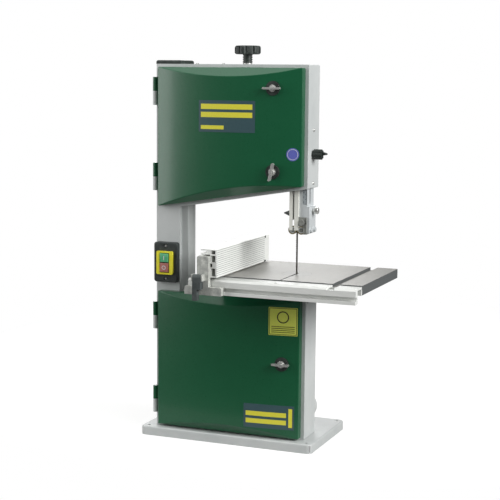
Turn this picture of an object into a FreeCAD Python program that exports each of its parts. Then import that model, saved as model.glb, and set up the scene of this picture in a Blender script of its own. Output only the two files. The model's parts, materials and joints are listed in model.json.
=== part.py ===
"""Bench band saw: pressed-steel frame, two wheels, tilting table with rip fence, rising blade guide.

Frame: +X to the right, +Y to the back, +Z up, origin under the middle of the base plate, millimetres.
Every length that drives the shape is a named cell of the sheet `dims`; objects are bound to those cells.
"""
import FreeCAD
import Part
import Sketcher

import math
import os
import re

doc = FreeCAD.newDocument("band_saw")
V = FreeCAD.Vector

# ---------------------------------------------------------------- driving dimensions

SHEET = {
    # base and frame
    "base_w": 400, "base_d": 228, "base_t": 20, "base_skin": 2.5,
    "bolt_dx": 370, "bolt_dy": 204, "bolt_hole_r": 4.2, "boss_r": 8,
    "frame_l": -176, "frame_r": 173.5, "frame_f": -83, "frame_b": -15, "frame_top": 815,
    "column_w": 56.5, "column_skin": 2.5, "skin": 2, "rim": 12,
    "cabinet_top_z": 322, "slope": 0.17, "upper_z0": 528.3,
    # wheels, blade and drive
    "wheel_x": 14.2, "wheel_y": -49, "wheel_r": 125, "wheel_w": 20, "tyre_t": 3,
    "low_z": 155.6, "wheel_gap": 519.4, "blade_off": 0.3, "blade_t": 0.6, "blade_w": 10,
    "axle_r": 6, "shaft_r": 7.5, "fit_gap": 0.03, "run_gap": 0.3,
    "motor_x": -70, "motor_z": 95, "motor_r": 56, "motor_len": 98, "cowl_len": 26,
    "motor_pulley_r": 14, "wheel_pulley_r": 50, "belt_y": -29, "belt_w": 10, "belt_t": 3,
    # doors
    "door_l": -165, "door_r": 166, "door_side": 16, "door_bulge": 15, "door_skin": 1.6,
    "upper_door_top": 808.5, "upper_door_z0": 536, "lower_door_top": 323, "lower_door_bot": 24,
    "bevel": 19, "hinge_r": 5, "hinge_x": -176, "hinge_y": -88.5, "pin_r": 2.5, "knuckle": 30,
    "lock_r": 15, "barrel_r": 7.5, "wing": 38,
    # table and fence
    "table_l": -24, "table_r": 317, "table_f": -147.4, "table_b": 114, "table_z": 373,
    "blade_x": 139.8, "plate_t": 8, "skirt_t": 7, "skirt_h": 19.5, "insert_r": 32, "insert_t": 3,
    "mitre_x": 262.6, "mitre_w": 16.4, "mitre_t": 6.5, "kerf": 3, "lug_r": 45, "bolt_ring": 36,
    "rail_f": -190, "rail_l": -50, "rail_h": 33,
    "fence_r": 17.5, "fence_w": 14.5, "fence_flange": -18, "fence_f": -197, "fence_b": 100,
    "fence_z": 376.4, "fence_top": 435.1,
    # guide
    "post_l": 151, "post_r": 168.5, "post_f": -69, "post_b": -29, "post_z": 497, "post_top": 780,
    "pinion_y": -52.5, "pinion_z": 629, "gear_m": 1, "gear_n": 12, "roller_r": 9.3,
    "guide_z": 467,
    # tension
    "screw_y": -28, "screw_r": 4, "knob_z": 836.5, "knob_h": 18.5, "knob_r": 28,
    # dust port
    "port_x": 135, "port_z": 70, "port_r": 30, "port_skin": 2.5, "port_len": 40,
    # switch
    "switch_x": -148, "switch_w": 56, "switch_z": 386, "switch_h": 88, "switch_t": 13,
}

sheet = doc.addObject("Spreadsheet::Sheet", "dims")
for row, (alias, number) in enumerate(SHEET.items(), start=1):
    sheet.set(f"A{row}", alias)
    sheet.set(f"B{row}", str(number))
    sheet.setAlias(f"B{row}", alias)
doc.recompute()

ALIAS = re.compile(r"[a-z_]+[a-z0-9_]*")
nodes = {}


def bound(text):
    """The expression with every cell's alias written as dims.alias."""
    return ALIAS.sub(lambda m: "dims." + m.group() if m.group() in SHEET else m.group(), str(text))


def size(text):
    """The expression's value now, in millimetres."""
    value = sheet.evalExpression(str(text))
    return float(getattr(value, "Value", value))


def less(high, low):
    return f"({high}) - ({low})"


def middle(low, high):
    return f"(({low}) + ({high})) / 2"


def place(obj, at):
    for axis, text in zip("xyz", at):
        obj.setExpression(f"Placement.Base.{axis}", bound(text))


def keep(label, obj):
    """Registers an object as the sub-part `label`."""
    obj.Label = label
    nodes[label] = obj
    return obj


# ---------------------------------------------------------------- Part primitives

def block(x0, x1, y0, y1, z0, z1, name="block"):
    obj = doc.addObject("Part::Box", name)
    for prop, low, high in (("Length", x0, x1), ("Width", y0, y1), ("Height", z0, z1)):
        obj.setExpression(prop, bound(less(high, low)))
    place(obj, (x0, y0, z0))
    return obj


TURN = {"X": FreeCAD.Rotation(V(0, 1, 0), 90), "Y": FreeCAD.Rotation(V(1, 0, 0), -90),
        "Z": FreeCAD.Rotation()}


def along(axis, start, a, b):
    """The corner (start along axis, a and b across it) as an x, y, z triple."""
    return {"X": (start, a, b), "Y": (a, start, b), "Z": (a, b, start)}[axis]


def rod(axis, radius, start, end, a, b, name="rod"):
    obj = doc.addObject("Part::Cylinder", name)
    obj.Placement.Rotation = TURN[axis]
    obj.setExpression("Radius", bound(radius))
    obj.setExpression("Height", bound(less(end, start)))
    place(obj, along(axis, start, a, b))
    return obj


def cone(axis, r0, r1, start, end, a, b, name="cone"):
    obj = doc.addObject("Part::Cone", name)
    obj.Placement.Rotation = TURN[axis]
    obj.setExpression("Radius1", bound(r0))
    obj.setExpression("Radius2", bound(r1))
    obj.setExpression("Height", bound(less(end, start)))
    place(obj, along(axis, start, a, b))
    return obj


def fuse(*parts, name="fuse"):
    obj = doc.addObject("Part::MultiFuse", name)
    obj.Shapes = list(parts)
    obj.Refine = True
    return obj


def cut(base, *tools, name="cut"):
    obj = doc.addObject("Part::Cut", name)
    obj.Base = base
    obj.Tool = tools[0] if len(tools) == 1 else fuse(*tools, name="tools")
    obj.Refine = True
    return obj


def group(*parts, name="group"):
    """Separate solids of one sub-part, kept apart."""
    obj = doc.addObject("Part::Compound", name)
    obj.Links = list(parts)
    return obj


def rounded(base, radius, pick, name="rounded"):
    """Fillets the edges for which pick(edge) is true."""
    doc.recompute()
    obj = doc.addObject("Part::Fillet", name)
    obj.Base = base
    r = size(radius)
    obj.Edges = [(i, r, r) for i, e in enumerate(base.Shape.Edges, start=1) if pick(e)]
    return obj


def runs(axis):
    """Picks straight edges parallel to an axis."""
    index = "XYZ".index(axis)

    def pick(edge):
        if not isinstance(edge.Curve, Part.Line):
            return False
        return abs(abs(edge.Curve.Direction[index]) - 1) < 1e-6
    return pick


def at_level(axis, text):
    """Picks edges that lie in the plane axis = text."""
    index = "XYZ".index(axis)
    level = size(text)
    return lambda e: all(abs(v.Point[index] - level) < 1e-3 for v in e.Vertexes)


def both(*tests):
    return lambda e: all(test(e) for test in tests)


def shaped(label, shape, at=(0, 0, 0)):
    """A shape that no feature makes, as a Part::Feature."""
    obj = doc.addObject("Part::Feature", label)
    obj.Shape = shape
    obj.Placement.Base = V(*(size(text) for text in at))
    return obj


# ---------------------------------------------------------------- PartDesign helpers

def new_body(name):
    return doc.addObject("PartDesign::Body", name)


def sketch_on(body, plane, offset="0"):
    sketch = body.newObject("Sketcher::SketchObject", body.Name + "_sketch")
    roles = {f.Role: f for f in body.Origin.OriginFeatures}
    sketch.AttachmentSupport = [(roles[plane], "")]
    sketch.MapMode = "FlatFace"
    sketch.setExpression("AttachmentOffset.Base.z", bound(offset))
    return sketch


def fix_point(sketch, geo, end, x, y):
    for kind, text in (("DistanceX", x), ("DistanceY", y)):
        index = sketch.addConstraint(Sketcher.Constraint(kind, geo, end, size(text)))
        sketch.setExpression(f"Constraints[{index}]", bound(text))


def loop(sketch, points):
    """A closed outline of straight lines, each corner tied to its expressions."""
    corners = [V(size(x), size(y), 0) for x, y in points]
    first = sketch.GeometryCount
    count = len(points)
    for i in range(count):
        sketch.addGeometry(Part.LineSegment(corners[i], corners[(i + 1) % count]), False)
    for i in range(count):
        sketch.addConstraint(
            Sketcher.Constraint("Coincident", first + i, 2, first + (i + 1) % count, 1))
    for i, (x, y) in enumerate(points):
        fix_point(sketch, first + i, 1, x, y)


def rectangle(x0, x1, y0, y1):
    return [(x0, y0), (x1, y0), (x1, y1), (x0, y1)]


def ring(sketch, x, y, radius):
    geo = sketch.addGeometry(Part.Circle(V(size(x), size(y), 0), V(0, 0, 1), size(radius)), False)
    fix_point(sketch, geo, 3, x, y)
    index = sketch.addConstraint(Sketcher.Constraint("Radius", geo, size(radius)))
    sketch.setExpression(f"Constraints[{index}]", bound(radius))


PLANE = {"X": "YZ_Plane", "Y": "XZ_Plane", "Z": "XY_Plane"}


def extruded(body, kind, axis, start, end, loops=(), rings=()):
    """A Pad or Pocket of an outline across an axis, from start to end along it."""
    offset = {"X": start, "Z": start, "Y": f"-({end})"}[axis]
    sketch = sketch_on(body, PLANE[axis], offset)
    for points in loops:
        loop(sketch, points)
    for x, y, radius in rings:
        ring(sketch, x, y, radius)
    feature = body.newObject("PartDesign::" + kind, body.Name + "_" + kind.lower())
    feature.Profile = sketch
    feature.setExpression("Length", bound(less(end, start)))
    feature.Reversed = kind == "Pocket"
    body.Tip = feature
    doc.recompute()
    return feature


def pad(body, axis, start, end, loops=(), rings=()):
    return extruded(body, "Pad", axis, start, end, loops, rings)


def pocket(body, axis, start, end, loops=(), rings=()):
    before = body.Shape.Volume
    feature = extruded(body, "Pocket", axis, start, end, loops, rings)
    if body.Shape.Volume > before - 1e-3:
        raise RuntimeError(body.Name + ": a pocket cuts nothing")
    return feature


def soften(body, radius, pick):
    """A Fillet on the body's edges that pick chooses."""
    base = body.Tip
    names = [f"Edge{i}" for i, e in enumerate(base.Shape.Edges, start=1) if pick(e)]
    feature = body.newObject("PartDesign::Fillet", body.Name + "_fillet")
    feature.Base = (base, names)
    feature.setExpression("Radius", bound(radius))
    body.Tip = feature
    doc.recompute()


def turned(name, points):
    """A body turned about the Y axis from an outline of (radius, y) corners."""
    body = new_body(name)
    sketch = sketch_on(body, "XY_Plane")
    loop(sketch, points)
    feature = body.newObject("PartDesign::Revolution", name + "_revolution")
    feature.Profile = sketch
    feature.ReferenceAxis = (sketch, ["V_Axis"])
    feature.Angle = 360
    body.Tip = feature
    doc.recompute()
    return body


def around(body, feature, count):
    """Repeats a feature evenly about the body's Y axis."""
    pattern = body.newObject("PartDesign::PolarPattern", body.Name + "_pattern")
    pattern.Originals = [feature]
    roles = {f.Role: f for f in body.Origin.OriginFeatures}
    pattern.Axis = (roles["Y_Axis"], [""])
    pattern.Angle = 360
    pattern.Occurrences = count
    body.Tip = pattern
    doc.recompute()


# ---------------------------------------------------------------- base and frame

def base_plate():
    """Tray open underneath, with a drilled boss under each corner for the bench bolts."""
    body = new_body("base_plate")
    pad(body, "Z", "0", "base_t",
        [rectangle("-base_w / 2", "base_w / 2", "-base_d / 2", "base_d / 2")])
    soften(body, "11", runs("Z"))
    soften(body, "3.5", at_level("Z", "base_t"))
    inner = rectangle("-base_w / 2 + base_skin", "base_w / 2 - base_skin",
                      "-base_d / 2 + base_skin", "base_d / 2 - base_skin")
    pocket(body, "Z", "0", "base_t - base_skin", [inner])
    corners = [(f"{i} * bolt_dx / 2", f"{j} * bolt_dy / 2") for i in (-1, 1) for j in (-1, 1)]
    pad(body, "Z", "0", "base_t - base_skin", rings=[(*at, "boss_r") for at in corners])
    pocket(body, "Z", "0", "base_t + 1", rings=[(*at, "bolt_hole_r") for at in corners])
    keep("base_plate", body)


COLUMN_R = "frame_l + column_w"


def column():
    """Square tube at the left, its cap, and the channel that covers the rising run of the blade."""
    body = new_body("column_tube")
    pad(body, "Z", "base_t", "frame_top",
        [rectangle("frame_l", COLUMN_R, "frame_f", "frame_b"),
         rectangle("frame_l + column_skin", COLUMN_R + " - column_skin",
                   "frame_f + column_skin", "frame_b - column_skin")])
    soften(body, "2", both(runs("Z"), lambda e: abs(e.Vertexes[0].X - size("frame_l")) < 0.1))
    keep("column_tube", body)

    lid = block("frame_l", COLUMN_R + " + 1.5", "frame_f", "frame_b", "frame_top", "frame_top + 8")
    top = at_level("Z", "frame_top + 8")
    plug = block("frame_l + column_skin", COLUMN_R + " - column_skin", "frame_f + column_skin",
                 "frame_b - column_skin", "frame_top - 14", "frame_top")
    keep("column_cap", fuse(rounded(lid, "4", top), plug))

    keep("return_blade_guard", cut(
        block(COLUMN_R, COLUMN_R + " + 15.5", "frame_f + 11", "frame_b - 20",
              "cabinet_top_z", "upper_z0 + 2"),
        block(COLUMN_R + " - 1", COLUMN_R + " + 14", "frame_f + 12.5", "frame_b - 21.5",
              "cabinet_top_z - 1", "upper_z0 + 3")))


def door_line(x, lift="0"):
    """Height of the upper cabinet's sloping underside at x."""
    return f"upper_z0 + slope * ({x}) + {lift}"


# each door lock: middle x and z, and the key's turn in degrees
LOCKS = {"upper_top": ("104", "766", 0), "upper_bottom": ("105", "593", 78), "lower": ("129", "186", 0)}


def strike(lock):
    """Latch strike: a strip from the right wall that a lock's tongue turns behind."""
    x, z, _ = LOCKS[lock]
    return block(f"{x} + 17", "frame_r - skin", "frame_f + 2", "frame_f + 4", f"{z} - 8", f"{z} + 8")


def post_bracket():
    """Web and two cheeks that the guide post slides between, welded to the right wall."""
    edge = "post_r + run_gap"
    return (block(edge, "frame_r - skin", "post_f - 5", "post_b + 5", "575", "614"),
            block("post_l + 7", edge, "post_f - 5", "post_f - run_gap", "575", "614"),
            block("post_l + 7", edge, "post_b + run_gap", "post_b + 5", "575", "614"))


def upper_cabinet():
    """Tray round the upper wheel, open to the front, with ways for the blade, guide and screw."""
    body = new_body("upper_cabinet_tray")
    left, right = COLUMN_R, "frame_r"
    pad(body, "Y", "frame_f", "frame_b",
        [[(left, door_line(left)), (right, door_line(right)),
          (right, "frame_top"), (left, "frame_top")]])
    soften(body, "2.5", both(runs("Y"), lambda e: e.Vertexes[0].X > size("frame_r") - 1))
    for edge, start, end in (("skin", "frame_f + skin", "frame_b - skin"),
                             ("rim", "frame_f - 1", "frame_f + skin")):
        far = f"{right} - {edge}"
        pocket(body, "Y", start, end,
               [[(left + " - 1", door_line(left, edge)), (far, door_line(far, edge)),
                 (far, f"frame_top - {edge}"), (left + " - 1", f"frame_top - {edge}")]])
    low, high = "upper_z0 - 40", "upper_z0 + 60"
    guide_way = block("128", "170.5", "frame_f + 4", "frame_b - 8", low, high)
    guard_way = block(COLUMN_R + " - 1", COLUMN_R + " + 15.8", "frame_f + 10.7", "frame_b - 19.7",
                      low, high)
    keep("upper_cabinet", fuse(
        cut(body, guide_way, guard_way,
            rod("Z", "screw_r + 1.5", "frame_top - 4", "frame_top + 4", "wheel_x", "screw_y"),
            rod("X", "4.5", "frame_r - 6", "frame_r + 4", "pinion_y", "pinion_z"),
            rod("Y", "5", "frame_b - 6", "frame_b + 4", "wheel_x", "low_z + wheel_gap - 48")),
        strike("upper_top"), strike("upper_bottom"), *post_bracket(),
        *(block(f"wheel_x + {side} * 35.6 - 4", f"wheel_x + {side} * 35.6 + 4",
                "frame_b - 17", "frame_b - skin", "610", "745") for side in (-1, 1))))


def lower_cabinet():
    """Tray round the lower wheel, open to the front, with ways for the blade, shafts and dust."""
    body = new_body("lower_cabinet_tray")
    pad(body, "Y", "frame_f", "frame_b",
        [rectangle(COLUMN_R, "frame_r", "base_t", "cabinet_top_z")])
    soften(body, "2.5", both(runs("Y"), lambda e: e.Vertexes[0].X > size("frame_r") - 1))
    for edge, start, end in (("skin", "frame_f + skin", "frame_b - skin"),
                             ("rim", "frame_f - 1", "frame_f + skin")):
        pocket(body, "Y", start, end,
               [rectangle(COLUMN_R + " - 1", f"frame_r - {edge}",
                          f"base_t + {edge}", f"cabinet_top_z - {edge}")])
    low, high = "cabinet_top_z - 6", "cabinet_top_z + 4"
    back, behind = "frame_b - 6", "frame_b + 4"
    blade_way = block("wheel_x + 118", "wheel_x + 134", "-62", "-40", low, high)
    guard_way = block(COLUMN_R + " + 1.5", COLUMN_R + " + 14.5", "frame_f + 11", "frame_b - 20", low, high)
    keep("lower_cabinet", fuse(
        cut(body, blade_way, guard_way,
            rod("Y", "14", back, behind, "wheel_x", "low_z"),
            rod("Y", "12", back, behind, "motor_x", "motor_z"),
            rod("Y", "port_r - port_skin", back, behind, "port_x", "port_z")),
        strike("lower")))


def frame_fittings():
    """Trunnion cradle with the lower blade guide, shaft housing, dust port, cable gland and screws."""
    floor, x0, x1 = "cabinet_top_z", "blade_x - 24", "blade_x + 24"
    cradle = cut(
        fuse(block(x0, x1, "-80", "-69.5", floor, floor + " + 14"),
             block(x0, x1, "-31.5", "-21", floor, floor + " + 14"),
             block("blade_x - 9", "blade_x + 9", "-20.3", "-16", floor, floor + " + 24"),
             block(x0, x1, "-80", "-16", floor, floor + " + 3")),
        rod("Y", "lug_r + run_gap", "-82", "-20.6", "blade_x", "table_z"),
        rod("Y", "4.2", "-24", "-12", "blade_x", "table_z - bolt_ring"),
        block("blade_x - 14", "blade_x + 14", "-62", "wheel_y + 5.6", floor + " - 1", floor + " + 6"))
    pads = [block(f"blade_x + {a}", f"blade_x + {b}", "-53", "wheel_y + 7", floor + " + 4", floor + " + 20")
            for a, b in ((1, 9), (-9, -1))]
    keep("trunnion_base", fuse(
        cradle, *pads,
        block("blade_x - 12", "blade_x + 12", "wheel_y + 5.6", "wheel_y + 12", floor, floor + " + 20")))

    housing = fuse(rod("Y", "22", "frame_b", "frame_b + 22", "wheel_x", "low_z"),
                   rod("Y", "34", "frame_b", "frame_b + 5", "wheel_x", "low_z"))
    keep("lower_bearing_housing", cut(
        housing, rod("Y", "shaft_r + fit_gap", "frame_b - 1", "frame_b + 24", "wheel_x", "low_z")))

    tube = rod("Y", "port_r", "frame_b", "frame_b + port_len", "port_x", "port_z")
    flange = block("port_x - 37", "port_x + 37", "frame_b", "frame_b + 3", "port_z - 37", "port_z + 37")
    keep("dust_port", cut(fuse(tube, rounded(flange, "6", runs("Y"))),
                          rod("Y", "port_r - port_skin", "frame_b - 1", "frame_b + port_len + 1",
                              "port_x", "port_z")))

    gland = fuse(rod("Y", "11", "frame_b", "frame_b + 5", "switch_x", "switch_z"),
                 rod("Y", "8", "frame_b + 5", "frame_b + 18", "switch_x", "switch_z"))
    keep("cable_gland", cut(gland, rod("Y", "4", "frame_b - 1", "frame_b + 20", "switch_x", "switch_z")))

    def dome(axis, start, a, b, head="4", high="2.5"):
        return cone(axis, head, f"{head} * 0.55", start, f"{start} + {high}", a, b)

    def inward(a, b):
        return cone("Y", "2", "3.4", "frame_f - switch_t + 1", "frame_f - switch_t + 3", a, b)

    keep("frame_screws", group(
        dome("Z", "frame_top", "-94", "wheel_y"), dome("Z", "frame_top", "-33", "wheel_y"),
        dome("X", "frame_r", "-48", "568"), dome("X", "frame_r", "-48", "679"),
        dome("X", "frame_r", "-72", "cabinet_top_z - 6", "2.5", "1.5"),
        dome("X", "frame_r", "-54", "cabinet_top_z - 6", "2.5", "1.5"),
        inward("switch_x", "switch_z + 36"), inward("switch_x", "switch_z - 36")))


def motor():
    """Induction motor behind the lower cabinet: finned case, terminal box, fan cowl."""
    front, back = "frame_b", "frame_b + motor_len"
    case = rod("Y", "motor_r - 5", front, back, "motor_x", "motor_z")
    fins = [rod("Y", "motor_r", f"frame_b + {10 + 10 * i}", f"frame_b + {15 + 10 * i}",
                "motor_x", "motor_z") for i in range(8)]
    plate = rod("Y", "motor_r", front, "frame_b + 7", "motor_x", "motor_z")
    box = block("motor_x - 28", "motor_x + 28", "frame_b + 14", "frame_b + 84",
                "motor_z + motor_r - 12", "motor_z + motor_r + 26")
    bore = rod("Y", "shaft_r + 1", "frame_b - 1", "frame_b + 40", "motor_x", "motor_z")
    keep("motor_body", cut(fuse(case, plate, box, *fins), bore))
    cowl = rod("Y", "motor_r - 1", back, back + " + cowl_len", "motor_x", "motor_z")
    hollow = rod("Y", "motor_r - 3", back + " - 1", back + " + cowl_len - 2", "motor_x", "motor_z")
    vents = [rod("Y", "3.2", back, back + " + cowl_len + 2",
                 f"motor_x + {size('motor_r') * r * math.cos(a):.3f}",
                 f"motor_z + {size('motor_r') * r * math.sin(a):.3f}")
             for r, many in ((0.3, 6), (0.55, 12))
             for a in (2 * math.pi * k / many for k in range(many))]
    keep("motor_fan_cowl", cut(cowl, hollow, *vents))

    shaft = fuse(rod("Y", "shaft_r", "belt_y - belt_w / 2 - 2", "frame_b + 38", "motor_x", "motor_z"),
                 rod("Y", "motor_pulley_r", "belt_y - belt_w / 2", "belt_y + belt_w / 2",
                     "motor_x", "motor_z"),
                 rod("Y", "motor_pulley_r + 4", "belt_y - belt_w / 2 - 2", "belt_y - belt_w / 2 - 0.3",
                     "motor_x", "motor_z"),
                 rod("Y", "motor_pulley_r + 4", "belt_y + belt_w / 2 + 0.3", "belt_y + belt_w / 2 + 2",
                     "motor_x", "motor_z"))
    keep("motor_pulley", shaft)


# ---------------------------------------------------------------- loops of belt and blade

def band(r0, r1, x0, z0, x1, z1, y0, width):
    """Solid inside a belt line round two circles of radius r0 and r1 in the XZ plane."""
    gap = math.hypot(x1 - x0, z1 - z0)
    lean = math.asin((r0 - r1) / gap)
    way = math.atan2(z1 - z0, x1 - x0)

    def on(cx, cz, r, angle):
        return V(cx + r * math.cos(angle), y0, cz + r * math.sin(angle))

    up, down = way + math.pi / 2 - lean, way - math.pi / 2 + lean
    a, b = on(x0, z0, r0, up), on(x1, z1, r1, up)
    c, d = on(x1, z1, r1, down), on(x0, z0, r0, down)
    edges = [Part.LineSegment(a, b).toShape(), Part.Arc(b, on(x1, z1, r1, way), c).toShape(),
             Part.LineSegment(c, d).toShape(),
             Part.Arc(d, on(x0, z0, r0, way + math.pi), a).toShape()]
    return Part.Face(Part.Wire(edges)).extrude(V(0, width, 0))


def strap(label, r0, r1, first, second, y0, width, thick):
    x0, z0, x1, z1 = (size(t) for t in first + second)
    outer = band(r0 + thick, r1 + thick, x0, z0, x1, z1, y0, width)
    inner = band(r0, r1, x0, z0, x1, z1, y0 - 1, width + 2)
    keep(label, shaped(label, outer.cut(inner)))


def blade_and_belt():
    inside = size("wheel_r + blade_off")
    strap("saw_blade", inside, inside, ("wheel_x", "low_z"), ("wheel_x", "low_z + wheel_gap"),
          size("wheel_y - 5.5"), size("blade_w"), size("blade_t"))
    strap("drive_belt", size("wheel_pulley_r + run_gap"), size("motor_pulley_r + run_gap"),
          ("wheel_x", "low_z"), ("motor_x", "motor_z"),
          size("belt_y - belt_w / 2 + 0.4"), size("belt_w - 0.8"), size("belt_t - 0.5"))


# ---------------------------------------------------------------- wheels and tension

def wheel(name, centre, bore, pulley):
    """Cast wheel with a dished web, five lightening holes and, below, the belt's sheave."""
    rim, web = "wheel_r - tyre_t", "wheel_y"
    front, back = "wheel_y - wheel_w / 2", "wheel_y + wheel_w / 2"
    hub = back + " + 1"
    outline = [(bore, front), ("20", front), ("24", web + " - 3"), (rim + " - 8", web + " - 3"),
               (rim + " - 7", front), (rim, front), (rim, back), (rim + " - 7", back),
               (rim + " - 8", web + " + 3"), ("26", web + " + 3"), ("22", hub), (bore, hub)]
    if pulley:
        grip = "wheel_pulley_r"
        outline[-3:] = [(grip + " + 4", web + " + 3"), (grip + " + 4", "belt_y - belt_w / 2 - 0.3"),
                        (grip, "belt_y - belt_w / 2 - 0.3"), (grip, "belt_y + belt_w / 2"),
                        (bore, "belt_y + belt_w / 2")]
    body = turned(name, outline)
    holes = extruded(body, "Pocket", "Y", web + " - 8", web + " + 8", rings=[("84", "0", "17")])
    around(body, holes, 5)
    place(body, ("wheel_x", "0", centre))
    keep(name, body)


def tyre(name, centre):
    body = turned(name, rectangle("wheel_r - tyre_t", "wheel_r", "wheel_y - wheel_w / 2",
                                  "wheel_y + wheel_w / 2"))
    place(body, ("wheel_x", "0", centre))
    keep(name, body)


UPPER_Z = "low_z + wheel_gap"


def wheels():
    wheel("upper_wheel", UPPER_Z, "axle_r + fit_gap", False)
    wheel("lower_wheel", "low_z", "shaft_r", True)
    tyre("upper_tyre", UPPER_Z)
    tyre("lower_tyre", "low_z")
    keep("lower_shaft", fuse(
        rod("Y", "shaft_r", "wheel_y - 16", "frame_b + 20", "wheel_x", "low_z"),
        rod("Y", "14", "wheel_y - 13", "wheel_y - 10", "wheel_x", "low_z"),
        rod("Y", "11", "wheel_y - 22", "wheel_y - 13", "wheel_x", "low_z")))


def tension():
    """Sliding carriage with the upper axle, and the screw and knob that lift it."""
    carriage = block("wheel_x - 31.2", "wheel_x + 31.2", "frame_b - 18.5", "frame_b - 2.6",
                     UPPER_Z + " - 38", UPPER_Z + " + 52")
    thread = rod("Z", "screw_r + 0.1", UPPER_Z + " + 10", UPPER_Z + " + 60", "wheel_x", "screw_y")
    keep("wheel_carriage", fuse(
        cut(carriage, thread),
        rod("Y", "axle_r", "wheel_y - 18", "frame_b - 18.5", "wheel_x", UPPER_Z),
        rod("Y", "12", "wheel_y - 13", "wheel_y - 10.4", "wheel_x", UPPER_Z),
        rod("Y", "10", "wheel_y - 20", "wheel_y - 13", "wheel_x", UPPER_Z),
        rod("Y", "11", "frame_b - 22", "frame_b - 18.5", "wheel_x", UPPER_Z)))

    pitch, turns, thick, radius = 6.0, 5, 1.3, 8.5
    path = Part.makeHelix(pitch, pitch * turns, radius)
    start = Part.Wire(Part.makeCircle(thick, V(radius, 0, 0), V(0, 1, 0)))
    coil = Part.Wire(path).makePipeShell([start], True, True)
    keep("tension_spring", shaped("tension_spring", coil,
                                  ("wheel_x", "screw_y", UPPER_Z + " + 53.6")))

    screw = fuse(rod("Z", "screw_r", UPPER_Z + " + 20", "knob_z", "wheel_x", "screw_y"),
                 rod("Z", "10", "frame_top + 0.3", "frame_top + 3", "wheel_x", "screw_y"))
    keep("tension_screw", screw)
    head = rod("Z", "knob_r", "knob_z", "knob_z + knob_h", "wheel_x", "screw_y")
    head = rounded(head, "5", lambda e: isinstance(e.Curve, Part.Circle))
    neck = [rod("Z", "9", "frame_top + 3", "knob_z", "wheel_x", "screw_y")]
    neck += [rod("Z", "10.5", f"frame_top + {4 + 5 * i}", f"frame_top + {7 + 5 * i}",
                 "wheel_x", "screw_y") for i in range(4)]
    flutes = [rod("Z", "5", "knob_z - 1", "knob_z + knob_h + 1",
                  f"wheel_x + (knob_r + 2) * cos({30 * k + 15})",
                  f"screw_y + (knob_r + 2) * sin({30 * k + 15})") for k in range(12)]
    keep("tension_knob", cut(fuse(head, *neck), *flutes,
                             rod("Z", "screw_r", "frame_top", "knob_z", "wheel_x", "screw_y")))

    low = UPPER_Z + " - 48"
    tip = rod("Y", "4", "frame_b - 2.2", "frame_b + 6", "wheel_x", low)
    grip = rod("Y", "16", "frame_b + 6", "frame_b + 22", "wheel_x", low)
    notches = [rod("Y", "4", "frame_b + 5", "frame_b + 23",
                   f"wheel_x + 18 * cos({60 * k})", f"{low} + 18 * sin({60 * k})") for k in range(6)]
    keep("tracking_knob", fuse(tip, cut(grip, *notches)))


# ---------------------------------------------------------------- doors, hinges and locks

def door_form(x0, x1, top, z0, tilt, inset):
    """Door envelope: side walls, a bowed front and slanting bevels, shrunk by inset."""
    back, shoulder = size("frame_f") - 0.3, size("frame_f - door_side") + inset
    nose = shoulder - size("door_bulge")
    left, right = x0 + inset, x1 - inset
    mid = (left + right) / 2
    plan = Part.Wire([
        Part.LineSegment(V(left, back, 0), V(left, shoulder, 0)).toShape(),
        Part.Arc(V(left, shoulder, 0), V(mid, nose, 0), V(right, shoulder, 0)).toShape(),
        Part.LineSegment(V(right, shoulder, 0), V(right, back, 0)).toShape(),
        Part.LineSegment(V(right, back, 0), V(left, back, 0)).toShape()])
    solid = Part.Face(plan).extrude(V(0, 0, size("frame_top + 100")))

    def wedge(edge_z, way, slope):
        """The half-space beyond the bevel that starts at the shoulder's edge."""
        drop = size("bevel") / size("door_bulge")
        far = 60
        side = [V(0, back + 1, 0), V(0, shoulder, 0), V(0, shoulder - far, -way * drop * far),
                V(0, shoulder - far, way * 2000), V(0, back + 1, way * 2000)]
        ends = []
        for x in (x0 - 5, x1 + 5):
            shift = V(x, 0, edge_z + slope * x)
            ends.append(Part.Wire(Part.makePolygon([p + shift for p in side + side[:1]])))
        return Part.makeLoft(ends, True, True)

    solid = solid.cut(wedge(top - inset, 1, 0))
    return solid.cut(wedge(z0 + inset, -1, tilt))


def door(name, top, z0, tilt="0"):
    x0, x1, top, z0, tilt, skin = (size(t) for t in ("door_l", "door_r", top, z0, tilt, "door_skin"))
    outer = door_form(x0, x1, top, z0, tilt, 0)
    front = size("frame_f - door_side") + 0.5
    creases = [e for e in outer.Edges if all(v.Y < front for v in e.Vertexes)]
    creases += [e for e in outer.Edges if runs("Y")(e)]
    outer = outer.makeFillet(2.5, creases)
    hollow = door_form(x0, x1, top, z0, tilt, skin)
    hollow = hollow.fuse(hollow.translated(V(0, 1, 0)))
    keep(name, shaped(name, outer.cut(hollow).removeSplitter()))


HINGE_Z = {"upper": ("757", "572.5"), "lower": ("266.5", "78")}


def knuckles(which, start, end, bore, leaf):
    """Knuckles between start and end above each hinge's middle, with their leaves."""
    parts = []
    for z in HINGE_Z[which]:
        low, high = f"{z} + {start}", f"{z} + {end}"
        barrel = rod("Z", "hinge_r", low, high, "hinge_x", "hinge_y")
        hole = rod("Z", bore, low + " - 1", high + " + 1", "hinge_x", "hinge_y")
        parts.append(cut(fuse(barrel, block(*leaf, low, high)), hole))
    return parts


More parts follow.
